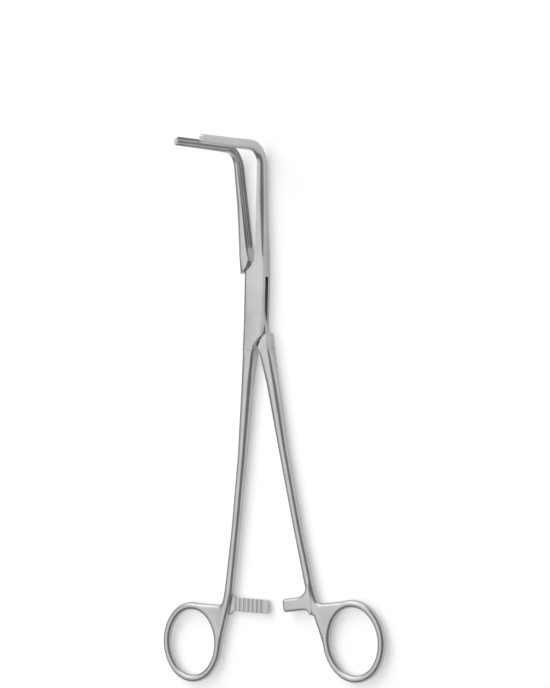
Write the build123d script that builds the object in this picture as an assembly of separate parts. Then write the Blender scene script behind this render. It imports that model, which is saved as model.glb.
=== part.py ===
"""Bronchus clamp with right-angled jaws, box lock, ratchet and finger rings.

The clamp lies on its back, open, with its jaws pointing up. +Z is up, +Y runs from the pivot to
the jaws and -Y to the finger rings. The origin is where the pivot axis meets the back face of the
box. Each half is drawn as it stands when the clamp is closed, where the two gripping faces meet at
the plane x = 0, and the plate half is then turned open about the pivot. Millimetres and degrees.
"""
from build123d import *
from math import atan2, cos, degrees, pi, sin
import os

# How far the plate half stands open as the clamp lies
REST_OPENING = 9.2

# Box lock
BOX_THICK = 5.4
BOX_HALF_WIDTH = 4.6
UPPER_SHOULDER = 13.4
UPPER_NOTCH = 18.3
LOWER_SHOULDER = 11.6
LOWER_CROTCH = 16.8
SHOULDER_SAG = 0.6
SHOULDER_CORNER = 0.9
WAIST = 5.0
JAW_ROOT_RISE = 1.7
SHANK_DROP = 1.2
FACET_WIDTH = 1.1
FACET_DROP = 0.5
PLATE_THICK = 1.9
PLATE_HALF_WIDTH = 3.4
PLATE_LAP = 0.5
SLOT_END = 12.5
PIN_DIAMETER = 3.4

# Clearances
PLATE_PLAY = 0.05
PIN_PLAY = 0.04
SHOULDER_PLAY = 0.15
JAW_GAP = 0.1

# Jaws, along their centreline
JAW_REACH = 64.2
JAW_HEIGHT = 44.4
BEND_RADIUS = 7.5
JAW_ROOT_DEPTH = 4.3
BEND_WIDTH = 5.0
BEND_DEPTH = 2.9
ARM_WIDTH = 4.2
ARM_DEPTH = 2.4
TIP_WIDTH = 3.5
TIP_DEPTH = 2.0
TIP_CORNER = 1.0
# rounding of the jaw's back, as shares of the width and of the depth
BACK_ROUND = (0.44, 0.8)

# Gripping faces
PLAIN_FACE = 4.8
ROOT_BEVEL = 0.2
# how far a bevel falls back from the face, as a share of its width
BEVEL_FALL = 0.35
STRIP_WIDTH = 3.36
GROOVE_OFFSET = 0.68
GROOVE_WIDTH = 0.62
GROOVE_DEPTH = 0.55
GROOVE_RUNOUT = 1.2
RIDGE_PLAY = 0.06
RIDGE_ROOT = 0.4
TOOTH_PITCH = 0.89
TOOTH_DEPTH = 0.3

# Shanks
SHANK_START_WIDTH = 4.9
SHANK_OFFSET = 2.5
SHANK_SLOPE = 0.0225
SHANK_BOW = 0.000405
INNER_CORNER = 0.3
# rounding of the shank's corners, as a share of its width and of its thickness
SHANK_ROUND = 0.42
# distance from the pivot, width, thickness
SHANK_STATIONS = (
    (32.0, 4.85, 4.8),
    (60.0, 3.85, 4.0),
    (90.0, 3.6, 3.7),
    (111.0, 3.85, 3.65),
    (116.0, 4.0, 3.65),
)

# Finger rings
RING_X = 28.2
RING_Y = 137.3
RING_HALF_WIDTH = 12.8
RING_HALF_LENGTH = 14.8
# how much more tightly the ring's ends curve than its sides
RING_TAPER = 0.7
BAND_WIDTH = 3.3
BAND_THICK = 3.5
BAND_SIDES = 12
# how far the shank's end lies inside the band
BAND_SINK = 0.15
WEB_THICK = 3.0
WEB_INSET = 0.3
WEB_BEVEL = 0.8
WEB_START = 116.0
WEB_STEM = 2.2
CROOK_RADIUS = 3.5

# Ratchet
RATCHET_Y = 120.5
RATCHET_HEIGHT = 5.5
RATCHET_THICK = 2.2
RATCHET_GAP = 0.1
RATCHET_PITCH = 2.1
RATCHET_TOOTH = 0.6
RATCHET_CREST = 0.9
LOWER_ARM_TIP = 8.7
LOWER_ARM_PLAIN = 2.9
LOWER_ARM_TEETH = 7
LOWER_ARM_FILLETS = (2.6, 1.6)
UPPER_ARM_TIP = 2.5
UPPER_ARM_PLAIN = 0.5
UPPER_ARM_TEETH = 4
UPPER_ARM_FILLETS = (5.0, 2.2)
ARM_END_ROUND = 1.0
ARM_EDGE = 0.7
ARM_SINK = 0.4

MID = BOX_THICK / 2
FACE = JAW_GAP / 2
JAW_ROOT = UPPER_NOTCH + JAW_ROOT_RISE
STRIP_START = JAW_ROOT + PLAIN_FACE
SHANK_START = LOWER_CROTCH + SHANK_DROP
BEND_Y = JAW_REACH - BEND_RADIUS
BEND_Z = MID + BEND_RADIUS
BEND_RUN = BEND_RADIUS * pi / 2
BEND_END = BEND_Y + BEND_RUN
TIP_RUN = BEND_END + JAW_HEIGHT - BEND_Z
SIDE = FACE + SHANK_START_WIDTH
STRAY = 0.05


def blend(first, last, share):
    """Value at a share of the way from first to last, held at the ends."""
    share = min(max(share, 0), 1)
    return first + (last - first) * share


def slab(face, low, high):
    """Solid of a plan outline between two heights."""
    return extrude(Pos(0, 0, low) * face, high - low)


def mirrored(shape):
    """The same shape on the other side of the closing plane."""
    return mirror(shape, Plane.YZ)


def jaw_plane(run):
    """Plane across the jaw, a run along its centreline from the pivot's height.

    Local x points away from the centre of the bend and local y away from the gripping face of
    the jaw that lies at -X.
    """
    if run <= BEND_Y:
        return Plane((0, run, BEND_Z), x_dir=(0, 0, -1), z_dir=(0, 1, 0))
    if run >= BEND_END:
        return Plane((0, BEND_Y, BEND_Z + run - BEND_END), x_dir=(0, 1, 0), z_dir=(0, 0, 1))
    turn = (run - BEND_Y) / BEND_RADIUS
    outward, onward = (0, sin(turn), -cos(turn)), (0, cos(turn), sin(turn))
    return Plane((0, BEND_Y, BEND_Z), x_dir=outward, z_dir=onward)


def jaw_size(run):
    """Width and depth of the jaw at a run along its centreline."""
    if run <= BEND_Y:
        share = (run - JAW_ROOT) / (BEND_Y - JAW_ROOT)
        return blend(BOX_THICK, BEND_WIDTH, share), blend(JAW_ROOT_DEPTH, BEND_DEPTH, share)
    if run <= BEND_END:
        share = (run - BEND_Y) / BEND_RUN
        return blend(BEND_WIDTH, ARM_WIDTH, share), blend(BEND_DEPTH, ARM_DEPTH, share)
    share = (run - BEND_END) / (TIP_RUN - BEND_END)
    return blend(ARM_WIDTH, TIP_WIDTH, share), blend(ARM_DEPTH, TIP_DEPTH, share)


def quarter(centre, reach, start):
    """Quarter of an ellipse that rounds a corner."""
    return EllipticalCenterArc(centre, *reach, start_angle=start, arc_size=90)


def jaw_section(run):
    """Outline across the jaw: flat gripping face, two bevels and a rounded back."""
    width, depth = jaw_size(run)
    bevel = blend(ROOT_BEVEL, (width - STRIP_WIDTH) / 2, (run - JAW_ROOT) / (STRIP_START - JAW_ROOT))
    shoulder = FACE + BEVEL_FALL * bevel
    rounded = (run - JAW_ROOT) / (BEND_Y - JAW_ROOT) * 2
    across = blend(FACET_DROP, BACK_ROUND[0] * width, rounded)
    down = blend(FACET_WIDTH, BACK_ROUND[1] * (depth - shoulder), rounded)
    inner, outer = BEND_RADIUS - width / 2, BEND_RADIUS + width / 2
    edges = Polyline((inner, depth - down), (inner, shoulder), (inner + bevel, FACE))
    edges += Polyline((inner + bevel, FACE), (outer - bevel, FACE), (outer, shoulder))
    edges += Line((outer, shoulder), (outer, depth - down))
    edges += quarter((outer - across, depth - down), (across, down), 0)
    edges += Line((outer - across, depth), (inner + across, depth))
    edges += quarter((inner + across, depth - down), (across, down), 90)
    return jaw_plane(run) * make_face(edges)


def jaw_blank():
    """Jaw at -X from the block to its tip, without teeth: upright stretch, bend and arm."""
    halfway = (STRIP_START + BEND_Y) / 2
    bend = [blend(BEND_Y, BEND_END, step / 6) for step in range(7)]
    arm = [BEND_END, TIP_RUN - 2 * TIP_CORNER, TIP_RUN]
    stretches = ([JAW_ROOT, STRIP_START], [STRIP_START, halfway, BEND_Y], bend, arm)
    solids = [loft([jaw_section(run) for run in runs], ruled=True) for runs in stretches]
    return solids[0].fuse(*solids[1:])


def strip_band(start, offset, width):
    """Outline, in the gripping plane, of a band along the jaw, offset outward from its centreline."""
    near, far = BEND_RADIUS + offset - width / 2, BEND_RADIUS + offset + width / 2
    beyond = JAW_HEIGHT + 1
    edges = Line((start, BEND_Z - near), (BEND_Y, BEND_Z - near))
    edges += CenterArc((BEND_Y, BEND_Z), near, -90, 90)
    edges += Polyline((BEND_Y + near, BEND_Z), (BEND_Y + near, beyond), (BEND_Y + far, beyond))
    edges += Line((BEND_Y + far, beyond), (BEND_Y + far, BEND_Z))
    edges += CenterArc((BEND_Y, BEND_Z), far, -90, 90)
    edges += Polyline((BEND_Y, BEND_Z - far), (start, BEND_Z - far), (start, BEND_Z - near))
    return make_face(edges)


def band_solid(start, offset, width, low, high):
    """A band of the gripping face as a solid between two x values."""
    plane = Plane((low, 0, 0), x_dir=(0, 1, 0), z_dir=(1, 0, 0))
    return extrude(plane * strip_band(start, offset, width), high - low)


def zigzag(crest, root, length):
    """Comb-shaped outline that cuts fine teeth: local x runs along the jaw and y across the face."""
    count = round(length / TOOTH_PITCH)
    pitch = length / count
    away = crest + (crest - root) * 2
    points = [(0, away), (0, crest)]
    for tooth in range(count):
        points += [((tooth + 0.5) * pitch, root), ((tooth + 1) * pitch, crest)]
    points.append((length, away))
    return make_face(Polyline(*points, close=True))


def bend_notches(crest, root):
    """Fine teeth round the bend: wedges whose flanks point to the centre of the bend."""
    count = round(BEND_RUN / TOOTH_PITCH)
    half = pi / 4 / count
    away = crest + (crest - root) * 2
    wedges = []
    for tooth in range(count):
        turn = (2 * tooth + 1) * half
        outward = (0, sin(turn), -cos(turn))
        sections = []
        for radius in (BEND_RADIUS - STRIP_WIDTH / 2, BEND_RADIUS + STRIP_WIDTH / 2):
            centre = (0, BEND_Y + radius * sin(turn), BEND_Z - radius * cos(turn))
            plane = Plane(centre, x_dir=(0, cos(turn), sin(turn)), z_dir=outward)
            side = plane.y_dir.X
            spread = radius * sin(half) / cos(half)
            points = [(-spread, side * away), (-spread, side * crest), (0, side * root)]
            points += [(spread, side * crest), (spread, side * away)]
            sections.append(plane * make_face(Polyline(*points, close=True)))
        wedges.append(loft(sections, ruled=True))
    return wedges


def tooth_cutters(crest, root):
    """Tools that cut cross teeth along the whole strip, between a crest and a root level in x."""
    upright = Plane((0, STRIP_START, MID - STRIP_WIDTH / 2), x_dir=(0, 1, 0), z_dir=(0, 0, 1))
    arm = Plane((0, JAW_REACH - STRIP_WIDTH / 2, BEND_Z), x_dir=(0, 0, 1), z_dir=(0, 1, 0))
    tools = []
    for plane, length in ((upright, BEND_Y - STRIP_START), (arm, JAW_HEIGHT - BEND_Z)):
        side = plane.y_dir.X
        tools.append(extrude(plane * zigzag(side * crest, side * root, length), STRIP_WIDTH))
    return tools + bend_notches(crest, root)


def tip_corners():
    """Tool that rounds the two corners of the jaw's tip."""
    corner = Plane((-BOX_HALF_WIDTH, JAW_REACH, JAW_HEIGHT), x_dir=(0, 1, 0), z_dir=(1, 0, 0))
    end = Pos(0, -TIP_WIDTH / 2) * Rectangle(TIP_WIDTH, TIP_WIDTH)
    rounded = fillet(end.vertices().group_by(Axis.Y)[-1], TIP_CORNER)
    return extrude(corner * (Rectangle(3 * TIP_WIDTH, 2 * TIP_CORNER) - rounded), 2 * BOX_HALF_WIDTH)


def grooved_jaw():
    """Jaw of the plate half, at -X: three toothed rows between two bevels, parted by two grooves."""
    jaw = jaw_blank()
    floor = -FACE - GROOVE_DEPTH
    start = STRIP_START - GROOVE_RUNOUT
    grooves = [band_solid(start, side * GROOVE_OFFSET, GROOVE_WIDTH, floor, FACE) for side in (-1, 1)]
    return jaw.cut(*tooth_cutters(-FACE, -FACE - TOOTH_DEPTH)).cut(*grooves).cut(tip_corners())


def ridged_jaw():
    """Jaw of the box half, at +X: two toothed ridges that seat in the grooves of the other jaw."""
    crest = -FACE - GROOVE_DEPTH + JAW_GAP
    width = GROOVE_WIDTH - 2 * RIDGE_PLAY
    offsets = (-GROOVE_OFFSET, GROOVE_OFFSET)
    ridges = [band_solid(STRIP_START, side, width, crest, FACE + RIDGE_ROOT) for side in offsets]
    ridges = [ridge.cut(*tooth_cutters(crest, crest + TOOTH_DEPTH)) for ridge in ridges]
    beyond = slab(Rectangle(4 * BOX_HALF_WIDTH, 4 * JAW_REACH), JAW_HEIGHT, JAW_HEIGHT + 2)
    return mirrored(jaw_blank()).fuse(*[ridge - beyond for ridge in ridges]).cut(tip_corners())


def facets(block, outer):
    """Bevel the long outer edges of a block on its front and back faces."""
    for end in (0, -1):
        face = block.faces().filter_by(Axis.Z).sort_by(Axis.Z)[end]
        rim = [e for e in face.edges() if min(abs((e @ 0).X), abs((e @ 1).X)) > outer - STRAY]
        block = chamfer(rim, FACET_WIDTH, FACET_DROP, reference=face)
    return block


def box_block():
    """Middle of the box half: two cheeks beside the slot, the jaw's root and the shank's root."""
    upper = (-BOX_HALF_WIDTH, UPPER_SHOULDER)
    lower = (BOX_HALF_WIDTH, -LOWER_SHOULDER)
    waist = (-BOX_HALF_WIDTH, -WAIST)
    shank_root = (-SIDE, -SHANK_START)
    edges = SagittaArc(upper, (FACE, UPPER_NOTCH), -SHOULDER_SAG)
    edges += Polyline((FACE, UPPER_NOTCH), (FACE, JAW_ROOT), (JAW_ROOT_DEPTH, JAW_ROOT))
    edges += Polyline((JAW_ROOT_DEPTH, JAW_ROOT), (BOX_HALF_WIDTH, SLOT_END), lower)
    edges += SagittaArc(lower, (-FACE, -LOWER_CROTCH), -SHOULDER_SAG)
    edges += Polyline((-FACE, -LOWER_CROTCH), (-FACE, -SHANK_START), shank_root)
    edges += TangentArc(waist, shank_root, tangent=(0, -1))
    edges += Line(waist, upper)
    block = facets(slab(make_face(edges), 0, BOX_THICK), JAW_ROOT_DEPTH)
    above = Pos(FACE - BOX_HALF_WIDTH, JAW_ROOT / 2) * Rectangle(2 * BOX_HALF_WIDTH, JAW_ROOT)
    below = Pos(BOX_HALF_WIDTH - FACE, -SHANK_START / 2) * Rectangle(2 * BOX_HALF_WIDTH, SHANK_START)
    slot_half = PLATE_THICK / 2 + PLATE_PLAY
    slot = slab(Circle(SLOT_END) + above + below, MID - slot_half, MID + slot_half)
    return block - slot - slab(Circle(PIN_DIAMETER / 2), 0, BOX_THICK)


def plate_block():
    """Middle of the plate half: two full-thickness shoulders and the plate between them."""
    rise = SHOULDER_PLAY * 2 ** 0.5
    upper = (-BOX_HALF_WIDTH, UPPER_SHOULDER + rise)
    notch = (-FACE, UPPER_NOTCH + rise)
    edges = SagittaArc(upper, notch, -SHOULDER_SAG)
    edges += Polyline(notch, (-FACE, JAW_ROOT), (-JAW_ROOT_DEPTH, JAW_ROOT), upper)
    jaw_root = facets(slab(make_face(edges), 0, BOX_THICK), JAW_ROOT_DEPTH)
    lower = (BOX_HALF_WIDTH, -LOWER_SHOULDER - rise)
    crotch = (FACE, -LOWER_CROTCH - rise)
    step = (SIDE - SHOULDER_CORNER / 2, -LOWER_SHOULDER)
    edges = SagittaArc(lower, crotch, -SHOULDER_SAG)
    edges += Polyline(crotch, (FACE, -SHANK_START), (SIDE, -SHANK_START))
    edges += Polyline((SIDE, -SHANK_START), (SIDE, -LOWER_SHOULDER - SHOULDER_CORNER), step, lower)
    shank_root = facets(slab(make_face(edges), 0, BOX_THICK), SIDE)
    strip = Rectangle(2 * PLATE_HALF_WIDTH, 2 * SLOT_END) & Circle(SLOT_END - SHOULDER_PLAY)
    neck_width = PLATE_HALF_WIDTH - FACE
    top, bottom = JAW_ROOT - PLATE_LAP, SHANK_START - PLATE_LAP
    strip += Pos(-FACE - neck_width / 2, top / 2) * Rectangle(neck_width, top)
    strip += Pos(FACE + neck_width / 2, -bottom / 2) * Rectangle(neck_width, bottom)
    plate = slab(strip, MID - PLATE_THICK / 2, MID + PLATE_THICK / 2)
    bore = slab(Circle(PIN_DIAMETER / 2 + PIN_PLAY), 0, BOX_THICK)
    return jaw_root.fuse(shank_root, plate) - bore


def shank_centre(run):
    """Distance of the shank's centreline from the closing plane."""
    return SHANK_OFFSET + SHANK_SLOPE * run + SHANK_BOW * run * run


def shank_section(run, centre, width, thick, outer, inner):
    """Rounded outline across the shank at +X, with the sizes of its outer and inner corners."""
    left, right = centre - width / 2, centre + width / 2
    low, high = MID - thick / 2, MID + thick / 2
    (outer_x, outer_z), (inner_x, inner_z) = outer, inner
    edges = Line((left + inner_x, low), (right - outer_x, low))
    edges += quarter((right - outer_x, low + outer_z), outer, -90)
    edges += Line((right, low + outer_z), (right, high - outer_z))
    edges += quarter((right - outer_x, high - outer_z), outer, 0)
    edges += Line((right - outer_x, high), (left + inner_x, high))
    edges += quarter((left + inner_x, high - inner_z), inner, 90)
    edges += Line((left, high - inner_z), (left, low + inner_z))
    edges += quarter((left + inner_x, low + inner_z), inner, 180)
    return Plane((0, -run, 0), x_dir=(1, 0, 0), z_dir=(0, -1, 0)) * make_face(edges)


def round_section(run, centre, width, thick):
    """Outline across the shank at +X with four equal corners."""
    corner = (SHANK_ROUND * width, SHANK_ROUND * thick)
    return shank_section(run, centre, width, thick, corner, corner)


def link_edge(run):
    """Distance from the closing plane of the link's outer side, from the last station to the ring."""
    start, width, _ = SHANK_STATIONS[-1]
    first = shank_centre(start) + width / 2
    last = RING_X - RING_HALF_WIDTH + BAND_WIDTH / 2 - BAND_SINK
    return blend(first, last, (run - start) / (RING_Y - start))


def shank():
    """Shank at +X, from the box down to the side of its finger ring, where it runs into the band."""
    facet, inner = (FACET_WIDTH, FACET_DROP), (INNER_CORNER, INNER_CORNER)
    width = SHANK_START_WIDTH
    start = shank_section(SHANK_START, FACE + width / 2, width, BOX_THICK, facet, inner)
    sections = [round_section(run, shank_centre(run), *size) for run, *size in SHANK_STATIONS]
    end_size = (BAND_WIDTH - 2 * BAND_SINK, BAND_THICK - 2 * BAND_SINK)
    end = round_section(RING_Y, RING_X - RING_HALF_WIDTH, *end_size)
    return loft([start] + sections + [end], ruled=True)


def oval(grow):
    """Oval of four arcs about the ring's centre, grown from the band's centreline."""
    half_width, half_length = RING_HALF_WIDTH + grow, RING_HALF_LENGTH + grow
    end = RING_HALF_WIDTH * (RING_HALF_WIDTH / RING_HALF_LENGTH) ** RING_TAPER + grow
    side = (half_width**2 + half_length**2 - 2 * half_length * end) / (2 * (half_width - end))
    turn = degrees(atan2(abs(half_length - end), abs(side - half_width)))
    edges = []
    for way in (-1, 1):
        long_side = (way * (half_width - side), 0)
        short_end = (0, way * (half_length - end))
        edges.append(CenterArc(long_side, side, 90 - 90 * way - turn, 2 * turn))
        edges.append(CenterArc(short_end, end, 90 * way - 90 + turn, 180 - 2 * turn))
    return Pos(RING_X, -RING_Y) * make_face(edges)


def ring_band():
    """Closed band of the finger ring, its rounded section made of flats."""
    path = Pos(0, 0, MID) * oval(0).wire()
    start, onward = path @ 0, path % 0
    across = Plane(start, x_dir=(onward.Y, -onward.X, 0), z_dir=onward)
    half = pi / BAND_SIDES
    corners = []
    for side in range(BAND_SIDES):
        turn = (2 * side + 1) * half
        corners.append((BAND_WIDTH / 2 * cos(turn) / cos(half), BAND_THICK / 2 * sin(turn) / cos(half)))
    return sweep(across * make_face(Polyline(*corners, close=True)), path=path)


def ring_web():
    """Flat web between the shank and the band, a little thinner than the band, bevelled outside."""
    reach = BAND_WIDTH / 2 - WEB_INSET
    stem = Pos(shank_centre(WEB_START), -WEB_START) * Rectangle(WEB_STEM, 2 * WEB_INSET)
    top = RING_HALF_LENGTH + reach - RING_Y
    corner = (link_edge(-top) - WEB_INSET, top)
    start = shank_centre(WEB_START) + WEB_STEM / 2 - WEB_INSET
    points = [corner, (start, WEB_INSET - WEB_START), (start, 0), (2 * RING_X, 0), (2 * RING_X, top)]
    crook = make_face(Polyline(*points, close=True))
    crook = fillet(crook.vertices().group_by(Axis.Y)[0].sort_by(Axis.X)[0], CROOK_RADIUS)
    plan = make_hull(oval(reach).edges() + stem.edges()) - crook
    web = slab(plan, MID - WEB_THICK / 2, MID + WEB_THICK / 2)
    rims = [e for e in web.edges() if abs((e @ 0.5).Z - MID) > WEB_THICK / 2 - STRAY]
    rims = [e for e in rims if (e @ 0.5).Y < -WEB_START]
    return chamfer(rims, WEB_BEVEL) - slab(oval(0), 0, BOX_THICK)


def finger_ring():
    """Finger ring at +X with the arm and the web that join it to the shank."""
    return ring_band().fuse(ring_web())


def ratchet_arm(tip, plain, teeth, fillets):
    """Ratchet arm of the shank at -X, reaching to x = tip below the middle plane, teeth up."""
    root = -shank_centre(RATCHET_Y)
    top, bottom = -RATCHET_Y + RATCHET_HEIGHT / 2, -RATCHET_Y - RATCHET_HEIGHT / 2
    outline = Pos((root + tip) / 2, -RATCHET_Y) * Rectangle(tip - root, RATCHET_HEIGHT)
    outline = fillet(outline.vertices().group_by(Axis.X)[-1], ARM_END_ROUND)
    edge = root + SHANK_STATIONS[-1][1] / 2 - ARM_SINK
    for level, side, radius in ((top, 1, fillets[0]), (bottom, -1, fillets[1])):
        reach = radius + edge - root
        patch = Pos(root + reach / 2, level + side * radius / 2) * Rectangle(reach, radius)
        outline += patch - Pos(edge + radius, level + side * radius) * Circle(radius)
    high = MID - RATCHET_GAP / 2
    arm = slab(outline, high - RATCHET_THICK, high)
    low_face = arm.faces().sort_by(Axis.Z)[0]
    rim = [e for e in low_face.edges() if min((e @ 0).X, (e @ 1).X) > root + STRAY]
    arm = chamfer(rim, ARM_EDGE)
    first = tip - plain - teeth * RATCHET_PITCH
    tall = RATCHET_HEIGHT + 2 * max(fillets)
    across = Plane((0, -RATCHET_Y + tall / 2, 0), x_dir=(1, 0, 0), z_dir=(0, -1, 0))
    for tooth in range(teeth):
        start = first + tooth * RATCHET_PITCH + RATCHET_CREST
        end = start + RATCHET_PITCH - RATCHET_CREST
        clear = high + RATCHET_GAP
        corners = [(start, high), (end, high - RATCHET_TOOTH), (end, clear), (start, clear)]
        arm -= extrude(across * make_face(Polyline(*corners, close=True)), tall)
    return arm


def handle(arm):
    """Shank, finger ring and ratchet arm of the half whose handle lies at -X."""
    return mirrored(shank()).fuse(mirrored(finger_ring()), arm)


def box_half():
    """Right jaw, box, left shank and ring, and the lower ratchet arm."""
    arm = ratchet_arm(LOWER_ARM_TIP, LOWER_ARM_PLAIN, LOWER_ARM_TEETH, LOWER_ARM_FILLETS)
    return box_block().fuse(ridged_jaw(), handle(arm))


def plate_half():
    """Left jaw, plate, right shank and ring, and the upper ratchet arm, turned open about the pivot."""
    arm = ratchet_arm(UPPER_ARM_TIP, UPPER_ARM_PLAIN, UPPER_ARM_TEETH, UPPER_ARM_FILLETS)
    turned_over = Pos(0, 0, MID) * Rot(0, 180, 0) * Pos(0, 0, -MID) * handle(arm)
    return Rot(0, 0, REST_OPENING) * plate_block().fuse(grooved_jaw(), turned_over)


def pivot_pin():
    """Rivet through the cheeks and the plate, ground flush."""
    return slab(Circle(PIN_DIAMETER / 2), 0, BOX_THICK)


os.makedirs("parts", exist_ok=True)
for make in (box_half, plate_half, pivot_pin):
    export_step(make(), f"parts/{make.__name__}.step")
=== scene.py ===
# %% [markdown]
# # A ring-handled clamp with right-angled jaws
# The clamp lies open on its back on a white table, and its two jaws point up. The steel body comes
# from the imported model. This lesson gives it soft edges, smooth shading and a satin finish, and then
# builds the table, the light and the camera around it.

# %% Load the frame
import bpy
from math import cos, radians, sin
from mathutils import Matrix, Vector


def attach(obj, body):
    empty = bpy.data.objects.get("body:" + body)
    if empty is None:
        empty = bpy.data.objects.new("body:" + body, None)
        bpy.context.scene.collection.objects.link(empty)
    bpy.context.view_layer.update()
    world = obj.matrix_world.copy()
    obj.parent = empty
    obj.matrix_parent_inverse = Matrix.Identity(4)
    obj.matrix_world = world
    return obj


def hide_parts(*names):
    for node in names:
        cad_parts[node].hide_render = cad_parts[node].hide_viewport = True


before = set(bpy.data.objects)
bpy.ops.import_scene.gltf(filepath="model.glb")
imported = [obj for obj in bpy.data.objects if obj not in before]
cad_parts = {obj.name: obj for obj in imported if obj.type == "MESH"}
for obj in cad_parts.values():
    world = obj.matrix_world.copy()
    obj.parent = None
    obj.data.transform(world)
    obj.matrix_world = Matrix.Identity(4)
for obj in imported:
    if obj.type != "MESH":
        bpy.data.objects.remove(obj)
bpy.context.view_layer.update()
MM = 0.001

# %% [markdown]
# ## From loose triangles to one skin
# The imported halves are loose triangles, so light breaks at every facet. A merged copy of each piece
# shares its corners and takes smooth shading. Modelling the clamp anew would only risk its shape.

# %% Helper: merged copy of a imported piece
MERGE_DISTANCE = 0.001 * MM


def only(piece):
    """Select one piece and make it active."""
    bpy.ops.object.select_all(action="DESELECT")
    piece.select_set(True)
    bpy.context.view_layer.objects.active = piece


def merged_copy(node, name):
    """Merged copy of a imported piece, alone selected and active."""
    copy = bpy.data.objects.new(name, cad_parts[node].data.copy())
    bpy.context.scene.collection.objects.link(copy)
    only(copy)
    bpy.ops.object.mode_set(mode="EDIT")
    bpy.ops.mesh.select_all(action="SELECT")
    bpy.ops.mesh.remove_doubles(threshold=MERGE_DISTANCE)
    bpy.ops.object.mode_set(mode="OBJECT")
    bpy.ops.mesh.customdata_custom_splitnormals_clear()
    print(name, "corners", len(copy.data.vertices), "triangles", len(copy.data.polygons))
    return copy


# %% [markdown]
# ## Two kinds of surface on each half
# The jaws and the box are ground to crisp edges, while the shank, the ratchet arm and the ring are
# forged and polished until they flow into each other. So each half is cut across its shank. The jaw
# end keeps its edges, and the handle end is remeshed and smoothed like clay.

# %% Helper: keep one side of a cut across the shank
CUT_FROM_PIVOT = 17.8 * MM
SPARE = 1.5 * MM
CAP_ANGLE = radians(60)
REST_TURN = {"box_half": 0.0, "plate_half": radians(9.2)}


def keep_side(piece, along, cut, keep_handle):
    """Cut a piece across its shank, cap the cut and keep the handle's side or the jaw's."""
    only(piece)
    bpy.ops.object.mode_set(mode="EDIT")
    bpy.ops.mesh.select_all(action="SELECT")
    bpy.ops.mesh.bisect(plane_co=-cut * along, plane_no=along, use_fill=True,
                        clear_outer=keep_handle, clear_inner=not keep_handle)
    bpy.ops.object.mode_set(mode="OBJECT")


# %% Helper: how much of the polish each corner takes
FULL_POLISH_AFTER = 3 * MM
RATCHET_FROM_PIVOT = (116.5 * MM, 124.5 * MM)
RATCHET_INSIDE = 9.2 * MM
UPPER_ARM_FRONT = 3.4 * MM


def polish_share(corner, along):
    """Share of the polish: none at the cut and on the ratchet's teeth, and full well away from them."""
    across = Vector((along.y, -along.x, 0))
    run, reach = -corner.dot(along), abs(corner.dot(across))
    near, far = RATCHET_FROM_PIVOT
    beside = max(near - run, run - far, reach - RATCHET_INSIDE, corner.z - UPPER_ARM_FRONT)
    return min(max(min(run - CUT_FROM_PIVOT, beside) / FULL_POLISH_AFTER, 0.0), 1.0)


# %% Helper: remesh a handle and polish it until its joints flow
CLAY_SIZE = 0.2 * MM
POLISH_PASSES = 160
POLISH_LOSS = 0.06 * MM


def flowing(piece, along):
    """Remesh a closed piece in small even faces, smooth it and give back what the smoothing takes."""
    only(piece)
    piece.data.remesh_voxel_size = CLAY_SIZE
    bpy.ops.object.voxel_remesh()
    group = piece.vertex_groups.new(name="polish")
    for corner in piece.data.vertices:
        group.add([corner.index], polish_share(corner.co, along), "REPLACE")
    for name, kind, passes, share in (("settle", "SMOOTH", 4, ""), ("wear", "SMOOTH", POLISH_PASSES, "polish"),
                                      ("regain", "DISPLACE", 0, "polish")):
        step = piece.modifiers.new(name, kind)
        step.vertex_group = share
        if kind == "SMOOTH":
            step.factor, step.iterations = 0.5, passes
        else:
            step.strength, step.mid_level = POLISH_LOSS, 0.0
        bpy.ops.object.modifier_apply(modifier=name)
    piece.vertex_groups.clear()
    print(piece.name, "faces", len(piece.data.polygons))


# %% Helper: crisp edges between smooth faces
SMOOTH_ANGLE = radians(32)


def crisp(piece):
    """Shade a piece smooth between its sharp edges, with the large faces kept flat."""
    only(piece)
    bpy.ops.object.shade_smooth_by_angle(angle=SMOOTH_ANGLE)
    weigh = piece.modifiers.new("weigh", "WEIGHTED_NORMAL")
    weigh.keep_sharp = True
    bpy.ops.object.modifier_apply(modifier="weigh")


# %% Helper: pick corners by their place
def pick(piece, wanted):
    """Open a piece for editing with just the corners that pass a test selected."""
    only(piece)
    bpy.ops.object.mode_set(mode="EDIT")
    bpy.ops.mesh.select_mode(type="VERT")
    bpy.ops.mesh.select_all(action="DESELECT")
    bpy.ops.object.mode_set(mode="OBJECT")
    chosen = [corner for corner in piece.data.vertices if wanted(corner.co)]
    for corner in chosen:
        corner.select = True
    bpy.ops.object.mode_set(mode="EDIT")
    print(piece.name, "corners picked", len(chosen))


# %% [markdown]
# ## A rivet that can't be seen
# The pivot pin is hammered into the cheeks of the box and ground flush, so its ends vanish in the
# satin finish. The cheeks are closed over it here, and the pin is kept a little shorter inside.

# %% Helpers: close the bore over a shorter pin
PIN_RADIUS = 1.7 * MM
BORE_REACH = 1.75 * MM
PIN_SINK = 0.3 * MM
HALF_HEIGHT = 2.7 * MM


def close_bore(piece):
    """Take the bore's wall out of the box and fill its four rims."""
    pick(piece, lambda co: Vector((co.x, co.y)).length < BORE_REACH)
    bpy.ops.mesh.select_mode(type="FACE")
    bpy.ops.mesh.delete(type="FACE")
    bpy.ops.mesh.select_all(action="SELECT")
    bpy.ops.mesh.fill_holes(sides=0)
    bpy.ops.object.mode_set(mode="OBJECT")


def shorten_pin(piece):
    """Draw both ends of the pin into the cheeks."""
    for top in (True, False):
        pick(piece, lambda co: (co.z > HALF_HEIGHT) == top)
        bpy.ops.transform.translate(value=(0, 0, -PIN_SINK if top else PIN_SINK))
        bpy.ops.object.mode_set(mode="OBJECT")


# %% [markdown]
# ## The tip of the ridged jaw
# The toothed ridges of one jaw stop just short of its tip, so that the end shows as a clean edge.
# Their last teeth are pressed flat, level with the gripping face.

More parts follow.
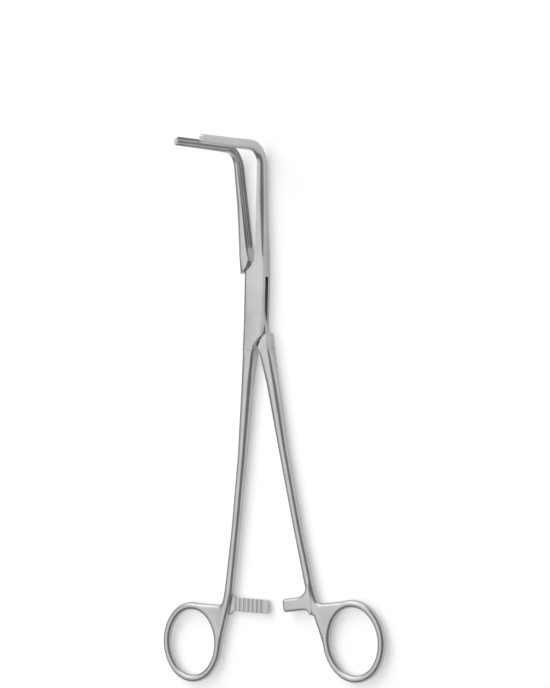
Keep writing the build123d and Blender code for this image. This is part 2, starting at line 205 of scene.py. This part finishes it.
# %% Helper: press the last teeth flat
FACE_X = 0.04 * MM
RIDGE_END_Z = 43.2 * MM


def clear_tip(piece):
    """Press the corners of the ridges above their end onto the gripping face."""
    pick(piece, lambda co: co.z > RIDGE_END_Z and co.x < 0)
    bpy.ops.transform.resize(value=(0, 1, 1), center_override=(FACE_X, 0, 0))
    bpy.ops.object.mode_set(mode="OBJECT")


# %% Cut the halves
pieces = []
for node, side in (("box_half", "left"), ("plate_half", "right")):
    other = "right" if side == "left" else "left"
    along = Matrix.Rotation(REST_TURN[node], 3, "Z") @ Vector((0, 1, 0))
    jaw = merged_copy(node, other + "_jaw_and_box")
    keep_side(jaw, along, CUT_FROM_PIVOT, keep_handle=False)
    if node == "box_half":
        close_bore(jaw)
        clear_tip(jaw)
    crisp(jaw)
    handle = merged_copy(node, side + "_handle")
    keep_side(handle, along, CUT_FROM_PIVOT - SPARE, keep_handle=True)
    flowing(handle, along)
    keep_side(handle, along, CUT_FROM_PIVOT, keep_handle=True)
    bpy.ops.object.shade_smooth_by_angle(angle=CAP_ANGLE)
    pieces += [(jaw, node), (handle, node)]
rivet = merged_copy("pivot_pin", "pivot_rivet")
shorten_pin(rivet)
crisp(rivet)
pieces.append((rivet, "pivot_pin"))

# %% [markdown]
# ## Satin stainless steel
# Surgical steel is bead-blasted or brushed to a soft satin, so that it doesn't dazzle. Bare metal is
# fully metallic: its look is the reflection of the room, blurred by the roughness. A fine grain along
# the clamp breaks up the reflection, and a broader noise varies how polished it is.

# %% Helper: nodes of a steel finish
def steel(name, tone, dull, grain):
    """Satin steel: tone and dull are (low, high) pairs, and grain is the depth of the grain."""
    material = bpy.data.materials.new(name)
    material.use_nodes = True
    nodes, links = material.node_tree.nodes, material.node_tree.links
    shader = nodes["Principled BSDF"]
    shader.inputs["Metallic"].default_value = 1.0
    place = nodes.new("ShaderNodeTexCoord")
    stretch = nodes.new("ShaderNodeMapping")
    stretch.inputs["Scale"].default_value = (9.0, 0.7, 9.0)
    links.new(place.outputs["Object"], stretch.inputs["Vector"])
    fine = nodes.new("ShaderNodeTexNoise")
    fine.inputs["Scale"].default_value = 700.0
    fine.inputs["Detail"].default_value = 3.0
    links.new(stretch.outputs["Vector"], fine.inputs["Vector"])
    broad = nodes.new("ShaderNodeTexNoise")
    broad.inputs["Scale"].default_value = 90.0
    broad.inputs["Detail"].default_value = 2.0
    links.new(place.outputs["Object"], broad.inputs["Vector"])
    colour = nodes.new("ShaderNodeValToRGB")
    colour.color_ramp.elements[0].position = 0.3
    colour.color_ramp.elements[1].position = 0.7
    colour.color_ramp.elements[0].color = (tone[0], tone[0], tone[0], 1)
    colour.color_ramp.elements[1].color = (tone[1], tone[1], tone[1], 1)
    links.new(broad.outputs["Fac"], colour.inputs["Fac"])
    links.new(colour.outputs["Color"], shader.inputs["Base Color"])
    polish = nodes.new("ShaderNodeMapRange")
    polish.inputs["From Min"].default_value = 0.3
    polish.inputs["From Max"].default_value = 0.7
    polish.inputs["To Min"].default_value = dull[0]
    polish.inputs["To Max"].default_value = dull[1]
    links.new(fine.outputs["Fac"], polish.inputs["Value"])
    links.new(polish.outputs["Result"], shader.inputs["Roughness"])
    bump = nodes.new("ShaderNodeBump")
    bump.inputs["Strength"].default_value = 0.25
    bump.inputs["Distance"].default_value = grain
    links.new(fine.outputs["Fac"], bump.inputs["Height"])
    links.new(bump.outputs["Normal"], shader.inputs["Normal"])
    print(name, "tone", tone, "roughness", dull)
    return material


# %% Put the finish on the pieces
satin = steel("satin_steel", tone=(0.48, 0.54), dull=(0.3, 0.42), grain=0.01 * MM)
BODY = {"box_half": "box_body", "pivot_pin": "box_body", "plate_half": "plate_body"}
for piece, node in pieces:
    piece.data.materials.clear()
    piece.data.materials.append(satin)
    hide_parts(node)
    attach(piece, BODY[node])
    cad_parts[node].data.materials[0] = satin

# %% [markdown]
# ## The table
# A catalogue photograph has a white ground. A wide white sheet under the clamp gives it, and keeps
# the soft shadow that shows that the clamp lies on something.

# %% Make the table
PAPER_GLOW = 0.33
bpy.ops.object.select_all(action="DESELECT")
bpy.ops.mesh.primitive_plane_add(size=6.0, location=(0, 0, 0))
table = bpy.context.active_object
table.name = "white_table"
paper = bpy.data.materials.new("white_paper")
paper.use_nodes = True
nodes, links = paper.node_tree.nodes, paper.node_tree.links
matt = nodes["Principled BSDF"]
matt.inputs["Base Color"].default_value = (0.95, 0.95, 0.95, 1)
matt.inputs["Roughness"].default_value = 0.9
matt.inputs["Specular IOR Level"].default_value = 0.0
ray = nodes.new("ShaderNodeLightPath")
seen = ray.outputs["Is Camera Ray"]
for kind in ("Is Glossy Ray", "Is Transmission Ray"):
    either = nodes.new("ShaderNodeMath")
    either.operation = "MAXIMUM"
    links.new(seen, either.inputs[0])
    links.new(ray.outputs[kind], either.inputs[1])
    seen = either.outputs["Value"]
share = nodes.new("ShaderNodeMath")
share.operation = "MULTIPLY"
share.inputs[1].default_value = PAPER_GLOW
links.new(seen, share.inputs[0])
glow = nodes.new("ShaderNodeEmission")
links.new(share.outputs["Value"], glow.inputs["Strength"])
both = nodes.new("ShaderNodeAddShader")
links.new(matt.outputs["BSDF"], both.inputs[0])
links.new(glow.outputs["Emission"], both.inputs[1])
links.new(both.outputs["Shader"], nodes["Material Output"].inputs["Surface"])
table.data.materials.append(paper)

# %% [markdown]
# ## The light
# One big soft box stands high on the left, beyond the jaws, and a dim room fills the rest. Upright
# faces turned to the right see the table in the clamp's own shadow, which draws their dark bands.

# %% Helper: a soft box that looks at the clamp
MIDDLE = Vector((0.008, -0.04, 0.003))


def soft_box(name, place, width, height, glow):
    """Area light of a given brightness, aimed at the middle of the clamp."""
    light = bpy.data.lights.new(name, "AREA")
    light.shape = "RECTANGLE"
    light.size, light.size_y = width, height
    light.energy = glow * 3.14159 * width * height
    lamp = bpy.data.objects.new(name, light)
    bpy.context.scene.collection.objects.link(lamp)
    lamp.location = place
    lamp.rotation_euler = (MIDDLE - Vector(place)).to_track_quat("-Z", "Y").to_euler()
    print(name, "power", round(light.energy, 2), "W")
    return lamp


# %% Set up the soft boxes and the room
soft_box("top_box", (-0.7, 0.0, 2.2), 3.0, 3.0, 0.95)
soft_box("key_box", (-1.1, 2.0, 1.5), 2.9, 2.2, 1.8)
room = bpy.data.worlds.new("room")
bpy.context.scene.world = room
room.use_nodes = True
room.node_tree.nodes["Background"].inputs["Color"].default_value = (0.23, 0.23, 0.23, 1)

# %% [markdown]
# ## The camera
# The photograph looks down on the clamp from its right, 34 degrees off the plumb line, through a
# long lens from about a metre away. Its place comes from the clamp's outline in the photograph.

# %% Place the camera
STAND_OFF = 1083.0
FOCAL_PIXELS = 2.5 * STAND_OFF
IMAGE_HEIGHT = 688
CLAMP_TURN = radians(2.369)
SIDE_ANGLE = radians(34.35)
TILT_ANGLE = radians(-1.5)
ROLL_ANGLE = radians(-0.73)
AIM = Vector((8.638, -15.588, 0.0))
PIVOT_MIDDLE = Vector((0, 0, 2.7))
back = Vector((sin(SIDE_ANGLE) * cos(TILT_ANGLE), sin(TILT_ANGLE), cos(SIDE_ANGLE) * cos(TILT_ANGLE)))
level = Vector((0, 1, 0)).cross(back).normalized()
upward = back.cross(level)
right = cos(ROLL_ANGLE) * level + sin(ROLL_ANGLE) * upward
up = cos(ROLL_ANGLE) * upward - sin(ROLL_ANGLE) * level
turn = Matrix.Rotation(CLAMP_TURN, 3, "Z")
view = turn @ Matrix((right, up, back)).transposed()
lens = bpy.data.cameras.new("camera")
lens.sensor_fit = "VERTICAL"
lens.sensor_height = 36.0
lens.lens = FOCAL_PIXELS / IMAGE_HEIGHT * lens.sensor_height
lens.clip_end = 20.0
camera = bpy.data.objects.new("camera", lens)
bpy.context.scene.collection.objects.link(camera)
camera.matrix_world = Matrix.Translation((turn @ (AIM + STAND_OFF * back) + PIVOT_MIDDLE) * MM) @ view.to_4x4()
bpy.context.scene.camera = camera
bpy.context.scene.view_settings.view_transform = "Standard"
print("camera at", [round(v, 3) for v in camera.matrix_world.translation], "lens", round(lens.lens, 1), "mm")

# %% Update the scene
bpy.context.view_layer.update()
